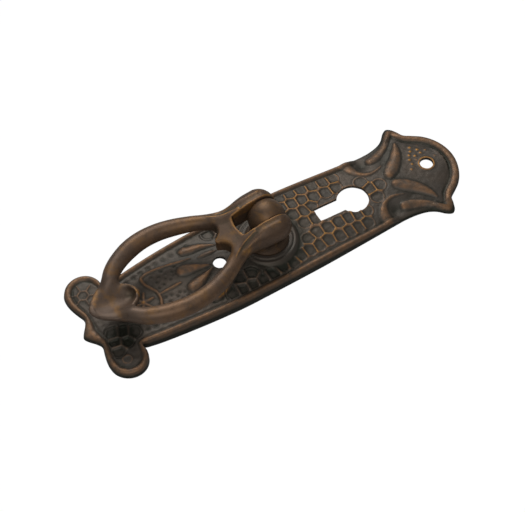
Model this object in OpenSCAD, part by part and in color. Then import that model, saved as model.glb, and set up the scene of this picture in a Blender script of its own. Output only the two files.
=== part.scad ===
// Pedestal handle for a cupboard or box: a pressed back plate with a keyhole, a turned pedestal
// riveted through its middle, and a pear-shaped drop handle on a fork that turns on the
// pedestal's knuckle. The plate lies on its back: +Z is out of the furniture, +Y is up the door.

/* [Plate] */
// Length of the back plate, from dome to tail
plate_l = 131.6; // [124:0.4:136]
// Width of the back plate across its two tail lobes
plate_w = 39.4; // [38:0.2:41]
// Thickness of the pressed sheet
sheet_t = 1; // [0.9:0.05:1.2]
// Height of the swell under the pedestal, above the plate's back
swell_h = 4.8; // [4.6:0.1:5]
// Depth of the honeycomb cells
cell_d = 0.35; // [0.25:0.05:0.4]
// Height of the leaves and drops above the field
leaf_h = 0.8; // [0.6:0.05:1]

/* [Holes] */
// Radius of the two screw holes
screw_r = 2.1; // [1.9:0.05:2.3]
// Radius of the round part of the keyhole
key_r = 5; // [4.6:0.1:5.2]
// Width of the keyhole's slot
key_slot_w = 5; // [4.4:0.1:5.4]

/* [Pedestal] */
// Height of the hinge axis above the plate's back
pivot_z = 15.8; // [15.6:0.1:16.6]
// Radius of the ball knuckle
ball_r = 5.8; // [5.4:0.1:6]
// Radius of the post under the ball
post_r = 5.2; // [5:0.1:5.5]

/* [Handle] */
// Width of the slot between the fork's arms
fork_slot = 7.6; // [7.4:0.1:8]
// Width of the fork across its arms
fork_w = 19; // [18.4:0.2:19.6]
// Radius of the arms' rounded ends about the hinge axis
arm_r = 5.4; // [5.2:0.05:5.5]
// Thickness of the ring's bar at its widest
bar_d = 5.6; // [5.2:0.1:6]
// Half the width of the ring between bar centres
ring_w = 13.9; // [13.3:0.1:14.5]
// Length from the hinge axis to the bottom of the ring
ring_l = 53.2; // [51:0.2:54.4]
// Slope of the handle towards the plate at rest, in degrees
rest_slope = 4.85; // [4.4:0.05:5.2]
// Radius of the hinge pin
pin_r = 1.5; // [1.3:0.05:1.7]

/* [Hidden] */
$fn = 64;

// Pieces that fit inside one another
pin_clear = 0.06;
knuckle_gap = 0.35;
shoulder_gap = 0.33;
pedestal_y = -2.1;
spigot_r = 2.5;
washer_r = 5;
washer_t = 1;
seat_r = 9.9;
seat_z = swell_h + 0.5;
seat_floor_z = seat_z - sheet_t - 0.1;

// Places of the holes along the plate
top_hole_y = 56.2;
low_hole_y = -18.7;
key_y = 29;
key_slot_end_y = 16;

// The right half of the outline from the dome round the lobe to the tail, and the edge of the
// sunk field inside the rim, point for point. Both are drawn for a plate of 131.6 by 39.4.
function arc(centre, r, a0, a1, n) = [
  for (i = [0:n]) centre + r * [cos(a0 + (a1 - a0) * i / n), sin(a0 + (a1 - a0) * i / n)]
];
dome_centre = [0, 51.6];
lobe_centre = [13.6, -58.2];
outline_half = concat(
  arc(dome_centre, 14.2, 90, 30, 5),
  [[13.9, 56.5], [16, 55.8], [18, 54.9], [19, 53.5], [18.1, 51.7], [16.1, 49.7], [14.7, 47.3]],
  [[13.9, 44], [13.6, 40], [13.75, 35.5], [14.1, 29], [14.5, 21], [15, 10], [15.25, 0]],
  [[15.4, -10], [15.45, -19], [15, -28], [14.2, -37.5], [13.25, -46], [12.4, -50.8]],
  arc(lobe_centre, 6.1, 105, -95, 8),
  [[10.6, -64], [8, -63.3], [5.5, -62.6], [3.6, -63.5], [1.7, -65], [0, -65.8]]
);
field_half = concat(
  arc(dome_centre, 10.7, 90, 30, 5),
  [[11.2, 54.6], [12.5, 53.8], [13.6, 53.1], [14, 52.5], [13.5, 51.6], [12.9, 49.8], [12.2, 47.3]],
  [[11.5, 44], [11.2, 40], [11.2, 35.5], [11.5, 29], [11.9, 21], [12.4, 10], [12.7, 0]],
  [[12.8, -10], [12.7, -19], [12.2, -28], [11.4, -37.5], [10.4, -46], [9.7, -50.9]],
  [[10.6, -53.6], [12.8, -54.3], [14.9, -55.1], [16.2, -56.3], [16.6, -57.8], [16.3, -59.3]],
  [[15.4, -60.5], [14.1, -61.2], [12.6, -61.5], [10.4, -61.4], [8, -60.9], [5.6, -60.6]],
  [[3.5, -60.5], [1.6, -60.5], [0, -60.5]]
);
lobe_end = 34;
fit = [plate_w / 39.4, plate_l / 131.6];
function fitted(p) = [p.x * fit.x, p.y * fit.y];

// A smooth curve through a half outline that meets its mirror image at both ends
steps = 2;
function mirrored(p) = [-p.x, p.y];
function half_at(half, i) = i < 0 ? mirrored(half[-i]) :
  i > len(half) - 1 ? mirrored(half[2 * (len(half) - 1) - i]) : half[i];
function spline(a, b, c, d, t) = 0.5 * ((2 * b) + (c - a) * t + (2 * a - 5 * b + 4 * c - d) * t * t
  + (3 * b - a - 3 * c + d) * t * t * t);
function curve(half) = [
  for (i = [0:len(half) - 2], s = [0:steps - 1])
    fitted(spline(half_at(half, i - 1), half_at(half, i), half_at(half, i + 1), half_at(half, i + 2), s / steps)),
  fitted(half[len(half) - 1])
];
outer = curve(outline_half);
inner = curve(field_half);
half_n = len(outer) - 1;
ring_n = 2 * half_n;
function around(half) = concat([for (i = [0:half_n]) half[i]], [for (i = [half_n - 1:-1:1]) mirrored(half[i])]);
outer_ring = around(outer);
inner_ring = around(inner);

// Heights: the rim's crest and the crown of the field along the plate, and the drop at the cusps
crest_by_y = [[-66, 1.5], [-62.4, 2.1], [-56.4, 2.7], [-50, 3.3], [-35, 3.95], [-18, 4], [0, 3.9], [10, 3.75], [15, 3.55],
  [21, 3.2], [27, 2.75], [32, 2.45], [38, 2.2], [45, 1.65], [52, 1.7], [66, 1.7]];
crown_by_y = [[-60, 1.9], [-57, 2.3], [-50, 2.9], [-40, 3.8], [-30, 4.5], [-19, 4.8], [-5, 4.7], [5, 4.4], [16, 3.8],
  [29, 3.1], [43, 2.9], [56, 2.3], [62, 2.1]];
half_width_by_y = [[-66, 16], [-56.4, 16], [-52.4, 9.9], [-46, 10.4], [-28, 12.2], [-10, 12.8], [10, 12.4], [29, 11.5],
  [38, 11.2], [44, 11.5], [49, 12.9], [52.5, 13.8], [57, 9.3], [60.6, 5.6]];
groove_drop = 0.55;
cusp_slope = 0.3;
function crest_z(p) = lookup(p.y / fit.y, crest_by_y) - (p.y > 45 ? cusp_slope * max(0, abs(p.x) - 14.2) : 0);
function edge_z(p) = max(0.9, crest_z(p) - groove_drop + 0.15);
function crown_z(y) = lookup(y / fit.y, crown_by_y) * swell_h / 4.8;
function bulge(u) = 1 - pow(abs(u), 2.4);
function field_z(x, y) = let (w = lookup(y / fit.y, half_width_by_y) * fit.x, e = edge_z([w, y]))
  e + (max(crown_z(y), e) - e) * bulge(min(1, abs(x) / w));

// The plate's skin: loops from the base edge over the rim to the field's edge, each a share of
// the way from the outline to the field's edge at a share of the crest's height
function between(t, i) = outer_ring[i] * (1 - t) + inner_ring[i] * t;
function loop(t, rise, drop) = [
  for (i = [0:ring_n - 1]) let (p = between(t, i)) [p.x, p.y, max(0.05, crest_z(outer_ring[i]) * rise - drop)]
];
base_loop = [for (p = outer_ring) [p.x, p.y, 0]];
back_loop = [for (i = [0:ring_n - 1]) let (p = between(0.3, i)) [p.x, p.y, 0]];
top_loops = [base_loop, loop(0.07, 0.72, 0), loop(0.2, 0.95, 0), loop(0.42, 1, 0), loop(0.75, 1, groove_drop)];
field_loop = [for (i = [0:ring_n - 1]) [inner_ring[i].x, inner_ring[i].y, edge_z(outer_ring[i])]];
under_loop = [for (i = [0:ring_n - 1]) let (p = between(0.55, i)) [p.x, p.y, max(0.3, crest_z(outer_ring[i]) - sheet_t - 0.3)]];
under_field_loop = [for (p = field_loop) [p.x, p.y, max(0.3, p.z - sheet_t)]];

// Rows across the field; the last row is the field's lower edge itself
row_n = steps * lobe_end;
columns = 12;
function row_point(i, k, drop) = let (
    u = (2 * k - columns) / columns,
    end = inner[i],
    e = edge_z(outer[i]),
    y = end.y + (i > row_n - 4 * steps ? 0.3 * (i - row_n + 4 * steps) / steps * (1 - u * u) : 0),
    z = e + (max(crown_z(y), e) - e) * bulge(u))
  [end.x * u, y, max(0.3, z - drop)];
function field_rows(drop) = [for (i = [1:row_n - 1], k = [1:columns - 1]) row_point(i, k, drop)];

// Faces between two loops, and over the rows of the field; a mirrored index is the left end of a row
function ring_faces(a, b, flip) = [
  for (i = [0:ring_n - 1]) let (j = (i + 1) % ring_n)
    each flip ? [[a + i, b + i, b + j], [a + i, b + j, a + j]] : [[a + i, a + j, b + j], [a + i, b + j, b + i]]
];
function cell_at(loop_at, rows_at, i, k) = k == 0 ? loop_at + (ring_n - i) % ring_n : k == columns ? loop_at + i :
  rows_at + (i - 1) * (columns - 1) + k - 1;
function tail_at(loop_at, m) = loop_at + (ring_n - row_n - m) % ring_n;
function turned(face, flip) = flip ? [face[2], face[1], face[0]] : face;
function field_faces(loop_at, rows_at, flip) = concat(
  [for (k = [0:columns - 1])
    turned([loop_at, cell_at(loop_at, rows_at, 1, k), cell_at(loop_at, rows_at, 1, k + 1)], flip)],
  [for (i = [1:row_n - 2], k = [0:columns - 1]) let (
      a = cell_at(loop_at, rows_at, i, k), b = cell_at(loop_at, rows_at, i, k + 1),
      c = cell_at(loop_at, rows_at, i + 1, k + 1), d = cell_at(loop_at, rows_at, i + 1, k))
    each (k < columns / 2 ? [turned([a, d, b], flip), turned([b, d, c], flip)] :
      [turned([a, d, c], flip), turned([a, c, b], flip)])],
  [for (k = [0:columns - 1]) let (
      a = cell_at(loop_at, rows_at, row_n - 1, k), b = cell_at(loop_at, rows_at, row_n - 1, k + 1),
      m = 2 * k, p = tail_at(loop_at, m), q = tail_at(loop_at, m + 1), r = tail_at(loop_at, m + 2))
    each [turned([a, p, q], flip), turned([a, q, b], flip), turned([b, q, r], flip)]]
);

module plate_skin() {
  loops = concat(top_loops, [field_loop, back_loop, under_loop, under_field_loop]);
  top_field = 5;
  back = 6;
  under_field = 8;
  rows = 9 * ring_n;
  under_rows = rows + (row_n - 1) * (columns - 1);
  polyhedron(
    points = concat([for (l = loops) each l], field_rows(0), field_rows(sheet_t)),
    faces = concat(
      [for (l = [0:top_field - 1]) each ring_faces(l * ring_n, (l + 1) * ring_n, false)],
      field_faces(top_field * ring_n, rows, true),
      ring_faces(0, back * ring_n, true),
      [for (l = [back:under_field - 1]) each ring_faces(l * ring_n, (l + 1) * ring_n, true)],
      field_faces(under_field * ring_n, under_rows, false)
    ),
    convexity = 8
  );
}

// A closed solid through rows of matching points, whose ends are fanned from one of their corners
module loft(rows, corner = 0) {
  n = len(rows);
  m = len(rows[0]);
  last = (n - 1) * m;
  polyhedron([for (row = rows) each row], concat(
    [for (i = [0:n - 2], k = [0:m - 1]) let (a = i * m + k, b = i * m + (k + 1) % m)
      each [[a, b, b + m], [a, b + m, a + m]]],
    [for (k = [1:m - 2]) [corner, (corner + k + 1) % m, (corner + k) % m]],
    [for (k = [1:m - 2]) [last + corner, last + (corner + k) % m, last + (corner + k + 1) % m]]
  ), convexity = 8);
}

// A raised form with a round back, swept along a line of [x, y, half width] points on the field
relief_sides = 6;
function lead(path, i) = let (d = path[min(i + 1, len(path) - 1)] - path[max(i - 1, 0)]) [d.x, d.y] / norm([d.x, d.y]);
function relief_point(p, d, u, rise) = let (x = p.x + d.y * p[2] * u, y = p.y - d.x * p[2] * u)
  [x, y, field_z(x, y) + rise];
module ridge(path, height, sunk = 0.3) {
  widest = max([for (p = path) p[2]]);
  loft([
    for (i = [0:len(path) - 1]) let (p = path[i], d = lead(path, i), h = height * min(1, p[2] / widest + 0.2))
      concat(
        [for (k = [0:relief_sides]) relief_point(p, d, cos(180 * k / relief_sides), h * sin(180 * k / relief_sides))],
        [for (u = [-1, 1]) relief_point(p, d, u, -sunk)]
      )
  ]);
}
module both_sides() {
  children();
  mirror([1, 0, 0]) children();
}

// Pressed ornament, drawn for the plate's own size
leaf = [[1.7, 43.4, 0.6], [2.2, 44, 1.4], [4, 46, 1.7], [6.4, 48.6, 1.6], [9, 50.7, 1.2], [11.6, 51.8, 0.4]];
side_leaf = [[10.2, 41, 0.5], [10.3, 41.8, 1.3], [10.7, 43.9, 1.4], [11.6, 46.3, 1.2], [13.2, 48.6, 0.9], [15.4, 50.9, 0.5]];
scroll = [[5.9, 42.4, 0.3], [5.5, 40.6, 0.5], [5.8, 38.8, 0.6], [7, 37, 0.7], [8.9, 35.7, 0.9], [11.6, 35.2, 1.2]];
drop = [[3.1, -30.6, 0.5], [3, -29.8, 1.4], [2.7, -28, 1.4], [2, -25.4, 0.9], [0.7, -22.2, 0.3]];
side_drop = [[10, -26, 0.4], [10, -25.2, 1.1], [9.7, -23.4, 1.2], [9, -21, 0.8], [8, -18.4, 0.3]];
small_leaf = [[5, -23.4, 0.3], [5.1, -21.8, 0.6], [5, -19.8, 0.5], [4.7, -18, 0.2]];
shield = [[6.8, -27.2, 0.3], [7.4, -31, 0.4], [7.8, -36, 0.4], [7.9, -40.8, 0.4], [7.2, -42.2, 0.4], [5.6, -42.1, 0.4],
  [3.8, -41.2, 0.4], [1.8, -40.2, 0.4], [0, -39.8, 0.4]];
shield_line = [[0, -32.4, 0.2], [0, -35, 0.5], [0, -38.3, 0.3]];
star_y = -45;
star_points = 6;
function sized(path) = [for (p = path) [p.x * fit.x, p.y * fit.y, p[2]]];
function on_field(x, y, rise) = [x, y, field_z(x, y) + rise];
module star() {
  y = star_y * fit.y;
  tips = [
    for (k = [0:2 * star_points - 1]) let (r = k % 2 == 0 ? 2.3 : 0.75, a = 180 * k / star_points)
      on_field(r * sin(a), y + r * cos(a), -0.05)
  ];
  polyhedron(
    concat(tips, [on_field(0, y, 0.7 * leaf_h), on_field(0, y, -0.5)]),
    [
      for (k = [0:2 * star_points - 1]) let (j = (k + 1) % (2 * star_points), top = 2 * star_points)
        each [[k, j, top], [j, k, top + 1]]
    ]
  );
}
lobe_figure_r = 1.8;
lobe_spoke_r = 3.9;
module lobe_figure() {
  centre = lobe_centre + [-0.6, 0.2];
  for (a = [0:60:300]) {
    p = centre + lobe_figure_r * [sin(a), cos(a)];
    q = centre + lobe_figure_r * [sin(a + 60), cos(a + 60)];
    spoke_end = centre + lobe_spoke_r * [sin(a), cos(a)];
    ridge(sized([[p.x, p.y, 0.25], [q.x, q.y, 0.25]]), 0.3);
    ridge(sized([[p.x, p.y, 0.22], [spoke_end.x, spoke_end.y, 0.2]]), 0.25);
  }
}

// Honeycomb: columns of six-sided cells, each sunk square to the slope of the field
cell_pitch = [4.2, 3.7];
cell_wall = 0.5;
function cell_corner(k) = let (a = 60 * k) [
  (cell_pitch.x * 2 / 3 - cell_wall * 0.6) * cos(a),
  abs(sin(a)) < 0.1 ? 0 : sign(sin(a)) * (cell_pitch.y - cell_wall) / 2
];
module cell(x, y) {
  edge = lookup(y / fit.y, half_width_by_y) * fit.x - 0.3 - abs(x);
  slope_x = (field_z(x + 1, y) - field_z(x - 1, y)) / 2;
  slope_y = (field_z(x, y + 1) - field_z(x, y - 1)) / 2;
  translate([x, y, field_z(x, y) - cell_d]) rotate([atan(slope_y), -atan(slope_x), 0])
    linear_extrude(2)
    polygon([for (k = [0:5]) let (c = cell_corner(k)) [sign(x) * min(sign(x) * c.x, edge), c.y]]);
}
function clear_of_ornament(x, y) =
  norm([x, y - pedestal_y]) > 12.2
  && norm([x, y - key_y]) > key_r + 2.3
  && !(abs(x) < key_slot_w / 2 + 2 && y > key_slot_end_y - 2 && y < key_y)
  && !(abs(x) > 8 && y > 33);
module honeycomb() {
  for (column = [0:2], side = [-1, 1], row = [-1:12]) {
    x = side * cell_pitch.x * (column + 0.5);
    y = 26.6 - cell_pitch.y * (row + (column == 1 ? 0 : 0.5));
    if (y > -19 && clear_of_ornament(x, y) && (column > 0 || y > 8)) cell(x, y);
  }
}
module keyhole() {
  translate([0, key_y * fit.y, -1]) cylinder(r = key_r, h = 10);
  translate([-key_slot_w / 2, key_slot_end_y * fit.y, -1]) cube([key_slot_w, (key_y - key_slot_end_y) * fit.y, 10]);
}
seat_section = [
  [0, seat_floor_z], [washer_r + 0.4, seat_floor_z], [seat_r - 2, seat_floor_z - 0.8], [seat_r - 0.5, seat_floor_z - 1.5],
  [seat_r, seat_z - 1.2], [seat_r - 0.7, seat_z - 0.7], [seat_r - 1, seat_z - 0.35], [seat_r - 1.5, seat_z - 0.35],
  [seat_r - 1.7, seat_z - 0.55], [seat_r - 2.3, seat_z], [0, seat_z]
];
module back_plate() {
  color([0.3, 0.25, 0.22]) difference() {
    union() {
      difference() {
        plate_skin();
        honeycomb();
        translate([0, pedestal_y, -1]) cylinder(r = seat_r - 1.5, h = seat_floor_z + 1);
      }
      translate([0, pedestal_y, 0]) rotate_extrude()
        polygon(seat_section);
      both_sides() {
        ridge(sized(leaf), leaf_h);
        ridge(sized(side_leaf), leaf_h);
        ridge(sized(scroll), 0.5 * leaf_h);
        ridge(sized(drop), leaf_h);
        ridge(sized(side_drop), 0.8 * leaf_h);
        ridge(sized(small_leaf), 0.5 * leaf_h);
        ridge(sized(shield), 0.5 * leaf_h);
        lobe_figure();
      }
      ridge(sized(shield_line), 0.5 * leaf_h);
      star();
    }
    translate([0, pedestal_y, -1]) cylinder(r = spigot_r, h = 10);
    for (y = [top_hole_y, low_hole_y]) translate([0, y * fit.y, -1]) cylinder(r = screw_r, h = 10);
    keyhole();
  }
}

// The pedestal: a turned foot and post whose ball knuckle is cut flat for the fork's arms
shoulder_z = pivot_z - arm_r - shoulder_gap;
knuckle_w = fork_slot - 2 * knuckle_gap;
foot_r = 6.8;
neck_r = ball_r - 1.4;
post_section = [
  [0, seat_z], [foot_r, seat_z], [foot_r, seat_z + 0.6], [foot_r - 0.5, seat_z + 1.1], [post_r + 0.3, seat_z + 1.5],
  [post_r, seat_z + 2.2], [post_r, shoulder_z - 0.4], [post_r - 0.4, shoulder_z], [0, shoulder_z]
];
module pedestal() {
  color([0.32, 0.25, 0.2]) difference() {
    translate([0, pedestal_y, 0]) union() {
      rotate_extrude()
        polygon(post_section);
      intersection() {
        union() {
          translate([0, 0, pivot_z]) sphere(r = ball_r);
          translate([0, 0, shoulder_z - 1]) cylinder(r = neck_r, h = arm_r);
        }
        translate([-knuckle_w / 2, -ball_r - 1, shoulder_z - 1]) cube([knuckle_w, 2 * ball_r + 2, 2 * ball_r + 2]);
      }
      translate([0, 0, seat_floor_z - washer_t]) cylinder(r = spigot_r, h = washer_t + 2);
      translate([0, 0, seat_floor_z - washer_t - 0.8]) cylinder(r = spigot_r + 0.9, h = 0.8);
    }
    translate([-ball_r, pedestal_y, pivot_z]) rotate([0, 90, 0]) cylinder(r = pin_r + pin_clear, h = 2 * ball_r);
  }
}

module rivet_washer() {
  color([0.45, 0.4, 0.33]) translate([0, pedestal_y, seat_floor_z - washer_t]) difference() {
    cylinder(r = washer_r, h = washer_t);
    translate([0, 0, -1]) cylinder(r = spigot_r, h = washer_t + 2);
  }
}

// The drop handle, drawn about the hinge axis with its ring along -Y, then sloped to its rest
pin_left = -fork_w / 2 + 0.9;
pin_right = fork_w / 2 - 2.3;
module at_hinge() {
  translate([0, pedestal_y, pivot_z]) rotate([rest_slope, 0, 0]) children();
}

// Stations down the right side: place, half the width outwards and inwards, half the depth, how
// square the section is, and its height above the plane through the hinge axis. An arm is a dome
// that starts just inside the slot's wall, so the slot cuts its inner face flat.
arm_root = fork_slot / 2 + 0.5;
arm_w = fork_w / 2 - arm_root;
arm_in = 0.9;
arm_lift = 1.1;
arm_depth = arm_r - arm_lift;
end_angles = [78, 60, 40, 20, 0];
bar_r = bar_d / 2;
arm_stations = concat(
  [for (a = end_angles) [arm_root, arm_r * sin(a), arm_w * cos(a), arm_in, arm_depth * cos(a), 2.2, arm_lift * cos(a)]],
  [[arm_root, -4, arm_w - 0.25, arm_in, arm_depth - 0.15, 2.4, arm_lift + 0.1]],
  [[arm_root + 0.5, -8, arm_w - 1.2, 1.5, arm_depth - 0.8, 2.7, 1], [arm_root + 1.9, -11.8, 2.5, 2.4, 2.6, 2.5, 0.85]],
  [[arm_root + 3.6, -15.1, 2.35, 2.35, 2.45, 2.2, 0.6]]
);

// The ring from the fork to its foot: shares of ring_w, ring_l and the bar, and the lift
ring_shape = [
  [0.685, 0.335, 0.83, 0.4], [0.775, 0.382, 0.86, 0.3], [0.905, 0.472, 0.93, 0.3], [0.985, 0.564, 0.965, 0.5],
  [1, 0.665, 1, 0.7], [0.935, 0.76, 1.02, 0.8], [0.805, 0.848, 0.97, 0.75], [0.65, 0.912, 0.92, 0.6],
  [0.475, 0.953, 0.88, 0.45], [0.297, 0.98, 0.84, 0.2], [0.1, 0.995, 0.82, 0], [0, 1, 0.8, -0.3]
];
side_stations = concat(
  arm_stations,
  [for (p = ring_shape) let (r = bar_r * p[2]) [ring_w * p.x, -ring_l * p.y, r, r, r, 2, p[3]]]
);
side_n = len(side_stations);
function flipped(s) = concat([-s[0]], [for (i = [1:len(s) - 1]) s[i]]);
bar_stations = concat(side_stations, [for (i = [side_n - 2:-1:0]) flipped(side_stations[i])]);
bar_sides = 20;
function backwards(list) = [for (i = [len(list) - 1:-1:0]) list[i]];
function rounded(c, power) = sign(c) * pow(abs(c), 2 / power);
function heading(i) = let (
    n = len(bar_stations) - 1, a = bar_stations[max(i - 1, 0)], b = bar_stations[min(i + 1, n)], d = [b[0] - a[0], b[1] - a[1]])
  i < len(end_angles) ? [0, -1] : i > n - len(end_angles) ? [0, 1] : d / norm(d);
function section(i) = let (s = bar_stations[i], d = heading(i)) [
  for (k = [0:bar_sides - 1]) let (
      a = 360 * k / bar_sides, u = (cos(a) > 0 ? s[2] : s[3]) * rounded(cos(a), s[5]), v = s[4] * rounded(sin(a), s[5]))
    [s[0] - d.y * u, s[1] + d.x * u, s[6] + v]
];
module bar() {
  loft(backwards([for (i = [0:len(bar_stations) - 1]) section(i)]));
}

// The web under the fork's slot: its plan, with two scallops and the nib between them, and its
// side view, which falls from the arms to the ring
web_end = 17.7;
web_low = -2.4;
web_plan = [[arm_root + 0.4, -7.5], [arm_root + 1.6, -11.5], [arm_root + 3.9, -15.7], [arm_root + 4.9, -web_end]];
web_side = [[-7, web_low], [-7, 4.4], [-10, 3.85], [-12, 3.4], [-15, 3.05], [-web_end, 2.8], [-web_end, web_low]];
scallop = [4.4, -18.6];
scallop_r = 3.65;
module web() {
  intersection() {
    translate([0, 0, -fork_w / 2]) linear_extrude(fork_w) difference() {
      polygon(concat(web_plan, [for (p = backwards(web_plan)) mirrored(p)]));
      for (s = [-1, 1]) translate([s * scallop.x, scallop.y]) circle(r = scallop_r);
    }
    rotate([90, 0, 90]) translate([0, 0, -fork_w]) linear_extrude(2 * fork_w) polygon(web_side);
  }
}

// The fork's slot, whose end is a shallow arc
fork_crotch = 10.4;
crotch_rise = 0.8;
crotch_r = (pow(fork_slot / 2, 2) + pow(crotch_rise, 2)) / (2 * crotch_rise);
module slot() {
  translate([0, 0, -fork_w / 2]) linear_extrude(fork_w) {
    translate([-fork_slot / 2, crotch_rise - fork_crotch]) square([fork_slot, 2 * fork_crotch]);
    intersection() {
      translate([0, crotch_r - fork_crotch]) circle(r = crotch_r);
      translate([-fork_slot / 2, -fork_crotch]) square([fork_slot, 2 * crotch_rise]);
    }
  }
}

// The thumb piece at the foot of the ring, a pointed tab with a scoop hollowed into its face.
// Its stations are a place down from the hinge, half the width, and the heights of the edge, the
// crown and the underside. The scoop's are a place, half the width, the floor and the rim.
tab_stations = [
  [-44.8, 0.8, -0.8, -0.2, -1.8], [-45.4, 2, -0.6, 0.6, -2.2], [-46.6, 3.4, -0.3, 1.3, -2.6], [-48.5, 4.6, 0, 1.8, -2.75],
  [-51, 6, 0.2, 2, -2.75], [-53.5, 7, 0.4, 2, -2.7], [-55.3, 6.3, 0.7, 1.9, -2.5], [-57.2, 5, 1, 1.7, -2],
  [-59.2, 3.3, 1.1, 1.6, -1.2], [-60.4, 1.9, 1.1, 1.5, -0.4], [-61, 0.8, 1.1, 1.4, 0.3]
];
scoop_stations = [
  [-45.3, 1.2, -0.8, 0.7], [-46.2, 2.4, -1.7, 1.2], [-47.5, 3.1, -1.8, 1.7], [-49.5, 3.7, -1.2, 2], [-52, 3.8, -0.5, 2.1],
  [-55, 3.4, 0.2, 2], [-57.5, 2.3, 0.8, 1.8], [-59, 1.2, 1.2, 1.7]
];
tab_sides = 20;
foot_shift = 53.2 - ring_l;
function tab_section(s) = [
  for (k = [0:tab_sides - 1]) let (a = 360 * k / tab_sides, rise = sin(a) > 0 ? s[3] - s[2] : s[2] - s[4])
    [s[1] * rounded(cos(a), 2.3), s[0] + foot_shift, s[2] + rise * rounded(sin(a), 2.3)]
];
scoop_sides = 8;
scoop_top = 4;
function scoop_section(s) = concat(
  [for (k = [0:scoop_sides]) let (u = 1 - 2 * k / scoop_sides) [s[1] * u, s[0] + foot_shift, s[2] + (s[3] - s[2]) * u * u]],
  [[-s[1] - 0.8, s[0] + foot_shift, scoop_top], [s[1] + 0.8, s[0] + foot_shift, scoop_top]]
);
module tab() {
  loft([for (s = backwards(tab_stations)) tab_section(s)]);
}
module scoop() {
  loft([for (s = scoop_stations) scoop_section(s)]);
}
module drop_handle() {
  color([0.4, 0.29, 0.22]) at_hinge() difference() {
    union() {
      bar();
      web();
      tab();
    }
    scoop();
    slot();
    translate([-fork_w, 0, 0]) rotate([0, 90, 0]) cylinder(r = pin_r, h = fork_w + pin_right);
  }
}

module hinge_pin() {
  color([0.4, 0.3, 0.22]) at_hinge() translate([pin_left, 0, 0]) rotate([0, 90, 0]) cylinder(r = pin_r, h = pin_right - pin_left);
}

back_plate();
pedestal();
rivet_washer();
hinge_pin();
drop_handle();
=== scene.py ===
"""Pedestal handle: a pressed back plate and a drop handle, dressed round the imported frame."""

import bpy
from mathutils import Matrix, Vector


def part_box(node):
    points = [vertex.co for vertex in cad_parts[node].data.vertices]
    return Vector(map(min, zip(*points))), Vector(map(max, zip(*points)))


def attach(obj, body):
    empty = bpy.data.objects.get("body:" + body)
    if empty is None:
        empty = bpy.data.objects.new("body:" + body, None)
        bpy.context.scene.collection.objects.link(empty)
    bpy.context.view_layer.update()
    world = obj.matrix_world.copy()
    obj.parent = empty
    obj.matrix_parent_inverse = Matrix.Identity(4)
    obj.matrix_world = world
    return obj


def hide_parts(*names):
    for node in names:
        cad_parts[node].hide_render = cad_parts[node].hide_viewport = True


bl_info = {
    "name": "Pedestal handle",
    "version": (1, 0, 0),
    "blender": (4, 5, 0),
    "location": "3D View > Sidebar > Handle",
    "description": "Builds the pressed plate, the drop handle, their antique copper finishes and the stage",
    "category": "Object",
}

import math
from functools import reduce

import bpy
import numpy as np
from bpy.props import FloatProperty, FloatVectorProperty, PointerProperty
from mathutils import Matrix, Vector, geometry

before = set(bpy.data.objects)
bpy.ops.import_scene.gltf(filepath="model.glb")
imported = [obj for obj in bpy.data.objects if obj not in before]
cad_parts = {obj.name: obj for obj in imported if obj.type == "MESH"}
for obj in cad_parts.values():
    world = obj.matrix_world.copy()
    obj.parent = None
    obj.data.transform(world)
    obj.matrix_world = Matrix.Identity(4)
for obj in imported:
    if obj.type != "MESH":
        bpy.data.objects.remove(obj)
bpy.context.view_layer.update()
MM = 0.001

# ---- Places in millimetres, the same as the part's source ----
DOME_CENTRE = (0.0, 51.6)
LOBE_CENTRE = (13.6, -58.2)
PEDESTAL_Y = -2.1
PIVOT_Z = 15.8
TOP_HOLE_Y = 56.2
LOW_HOLE_Y = -18.7
SCREW_R = 2.1
SPIGOT_R = 2.5
KEY_Y = 29.0
KEY_R = 5.0
KEY_SLOT = 5.0
KEY_SLOT_END = 16.0
SEAT_FLOOR = 4.2
SHEET = 1.0

# Distances of the mesh's rings of points from the outline and from the holes, and the grid that heights are blurred on
OUTLINE_RINGS = (0.08, 0.2, 0.38, 0.6)
HOLE_RINGS = (0.12, 0.3)
BLUR_STEP = 0.25
BLUR_MARGIN = 3


def arc(centre, r, a0, a1, n):
    """Points at equal angles round a circle."""
    a = np.radians(np.linspace(a0, a1, n + 1))
    return np.stack([centre[0] + r * np.cos(a), centre[1] + r * np.sin(a)], 1)


OUTLINE = np.vstack([
    arc(DOME_CENTRE, 14.2, 90, 30, 5),
    [(13.9, 56.5), (16, 55.8), (18, 54.9), (19, 53.5), (18.1, 51.7), (16.1, 49.7), (14.7, 47.3)],
    [(13.9, 44), (13.6, 40), (13.75, 35.5), (14.1, 29), (14.5, 21), (15, 10), (15.25, 0)],
    [(15.4, -10), (15.45, -19), (15, -28), (14.2, -37.5), (13.25, -46), (12.4, -50.8)],
    arc(LOBE_CENTRE, 6.1, 105, -95, 8),
    [(10.6, -64), (8, -63.3), (5.5, -62.6), (3.6, -63.5), (1.7, -65), (0, -65.8)],
])
FIELD = np.vstack([
    arc(DOME_CENTRE, 10.7, 90, 30, 5),
    [(11.2, 54.6), (12.5, 53.8), (13.6, 53.1), (14, 52.5), (13.5, 51.6), (12.9, 49.8), (12.2, 47.3)],
    [(11.5, 44), (11.2, 40), (11.2, 35.5), (11.5, 29), (11.9, 21), (12.4, 10), (12.7, 0)],
    [(12.8, -10), (12.7, -19), (12.2, -28), (11.4, -37.5), (10.4, -46), (9.7, -50.9)],
    [(10.6, -53.6), (12.8, -54.3), (14.9, -55.1), (16.2, -56.3), (16.6, -57.8), (16.3, -59.3)],
    [(15.4, -60.5), (14.1, -61.2), (12.6, -61.5), (10.4, -61.4), (8, -60.9), (5.6, -60.6)],
    [(3.5, -60.5), (1.6, -60.5), (0, -60.5)],
])
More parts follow.
